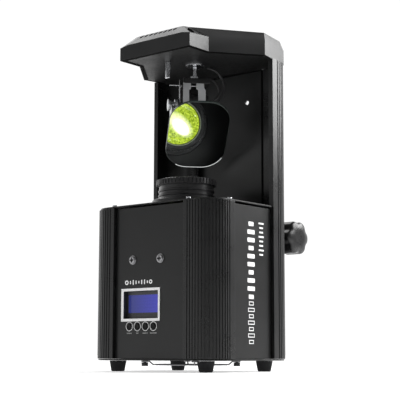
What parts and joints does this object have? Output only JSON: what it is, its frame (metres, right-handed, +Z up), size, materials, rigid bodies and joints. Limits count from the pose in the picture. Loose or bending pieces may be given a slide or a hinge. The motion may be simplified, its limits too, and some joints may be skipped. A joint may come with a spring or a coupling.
{
  "type": "scanner effect light",
  "caption": "Stage scanner light: box housing whose lens fires up at a pan and tilt mirror under an overhanging head, with display, buttons and hanging bracket.",
  "frame": {"origin": "on the floor under the middle of the footprint, bracket and knobs included", "axes": "+Z up, +Y from the display side to the rear, +X to the right seen from the front"},
  "size_m": [0.18, 0.1842, 0.3704],
  "materials": {
    "black_paint": "fine satin powder coat",
    "dark_plastic": "moulded, lightly textured",
    "rubber": "matte",
    "bright_steel": "zinc plated",
    "raw_aluminium": "satin",
    "circuit_board": "solder mask",
    "white_plastic": "satin",
    "lcd": "lit blue",
    "led_yellow": "phosphor",
    "lens_glass": "coated",
    "mirror_glass": "front silvered"
  },
  "bodies": {
    "housing": {"front_left_profile": "black_paint", "front_right_profile": "black_paint", "rear_left_profile": "black_paint", "rear_right_profile": "black_paint", "left_panel": "black_paint", "right_panel": "black_paint", "front_panel": "black_paint", "rear_panel": "black_paint", "base_plate": "black_paint", "deck_plate": "black_paint", "fan_guard": "black_paint", "lens_base": "black_paint", "head_cover": "black_paint", "head_tray": "black_paint", "bracket_mount": "black_paint", "power_inlet": "dark_plastic", "signal_input": "dark_plastic", "signal_output": "dark_plastic", "fan_frame": "dark_plastic", "cable_sleeve": "dark_plastic", "foot_front_left": "rubber", "foot_front_right": "rubber", "foot_rear_left": "rubber", "foot_rear_right": "rubber", "profile_screw_left_front": "bright_steel", "profile_screw_left_side": "bright_steel", "profile_screw_right_front": "bright_steel", "profile_screw_right_side": "bright_steel", "panel_screw_left": "bright_steel", "panel_screw_right": "bright_steel", "guard_nut_left": "bright_steel", "guard_nut_right": "bright_steel", "colour_motor": "bright_steel", "gobo_motor": "bright_steel", "pan_motor": "bright_steel", "stop_pin": "bright_steel", "heat_sink": "raw_aluminium", "power_supply": "raw_aluminium", "control_board": "circuit_board", "main_board": "circuit_board", "display_bezel": "white_plastic", "lcd_module": "lcd", "led_module": "led_yellow"},
    "pan_head": {"pan_yoke": "raw_aluminium", "tilt_motor": "dark_plastic"},
    "mirror_head": {"tilt_arm": "raw_aluminium", "mirror": "mirror_glass"},
    "focus": {"focus_ring": "black_paint"},
    "lens_carriage": {"lens_tube": "dark_plastic", "front_lens": "lens_glass"},
    "colour_disc": {"colour_wheel": "raw_aluminium"},
    "gobo_disc": {"gobo_wheel": "bright_steel"},
    "fan": {"fan_rotor": "dark_plastic"},
    "menu_key": {"menu_button": "dark_plastic"},
    "down_key": {"down_button": "dark_plastic"},
    "up_key": {"up_button": "dark_plastic"},
    "enter_key": {"enter_button": "dark_plastic"},
    "bracket": {"mounting_bracket": "black_paint"},
    "right_clamp": {"knob_right": "dark_plastic"},
    "left_clamp": {"knob_left": "dark_plastic"}
  },
  "joints": [
    {"name": "mirror_pan", "type": "hinge", "parent": "housing", "child": "pan_head", "pos_m": [0, -0.01415, 0.3], "axis": [0, 0, 1], "range_deg": [-138.4, 41.6]},
    {"name": "mirror_tilt", "type": "hinge", "parent": "pan_head", "child": "mirror_head", "pos_m": [0, -0.01415, 0.29755], "axis": [0.6639, 0.7478, 0], "range_deg": [-25, 13]},
    {"name": "focus_turn", "type": "hinge", "parent": "housing", "child": "focus", "pos_m": [0, -0.02865, 0.20265], "axis": [0, 0, 1], "range_deg": [-45, 45]},
    {"name": "lens_travel", "type": "slide", "parent": "housing", "child": "lens_carriage", "axis": [0, 0, 1], "range_m": [-0.002, 0.002]},
    {"name": "colour_wheel_turn", "type": "hinge", "parent": "housing", "child": "colour_disc", "pos_m": [-0.031, -0.02865, 0.14685], "axis": [0, 0, 1], "continuous": true},
    {"name": "gobo_wheel_turn", "type": "hinge", "parent": "housing", "child": "gobo_disc", "pos_m": [0.031, -0.02865, 0.14685], "axis": [0, 0, 1], "continuous": true},
    {"name": "fan_spin", "type": "hinge", "parent": "housing", "child": "fan", "pos_m": [0, -0.01975, 0.02185], "axis": [0, 0, 1], "continuous": true},
    {"name": "menu_press", "type": "slide", "parent": "housing", "child": "menu_key", "axis": [0, 1, 0], "range_m": [0, 0.0008], "stiffness_N_per_m": 400},
    {"name": "down_press", "type": "slide", "parent": "housing", "child": "down_key", "axis": [0, 1, 0], "range_m": [0, 0.0008], "stiffness_N_per_m": 400},
    {"name": "up_press", "type": "slide", "parent": "housing", "child": "up_key", "axis": [0, 1, 0], "range_m": [0, 0.0008], "stiffness_N_per_m": 400},
    {"name": "enter_press", "type": "slide", "parent": "housing", "child": "enter_key", "axis": [0, 1, 0], "range_m": [0, 0.0008], "stiffness_N_per_m": 400},
    {"name": "bracket_swing", "type": "hinge", "parent": "housing", "child": "bracket", "pos_m": [0, 0.07255, 0.14915], "axis": [1, 0, 0], "range_deg": [0, 180]},
    {"name": "right_knob_turn", "type": "hinge", "parent": "housing", "child": "right_clamp", "pos_m": [0.065, 0.07255, 0.14915], "axis": [1, 0, 0], "range_deg": [0, 720]},
    {"name": "left_knob_turn", "type": "hinge", "parent": "housing", "child": "left_clamp", "pos_m": [-0.065, 0.07255, 0.14915], "axis": [-1, 0, 0], "range_deg": [0, 720]}
  ],
  "couplings": [
    {"joint": "lens_travel", "follows": "focus_turn", "m_per_rad": 0.0025}
  ]
}
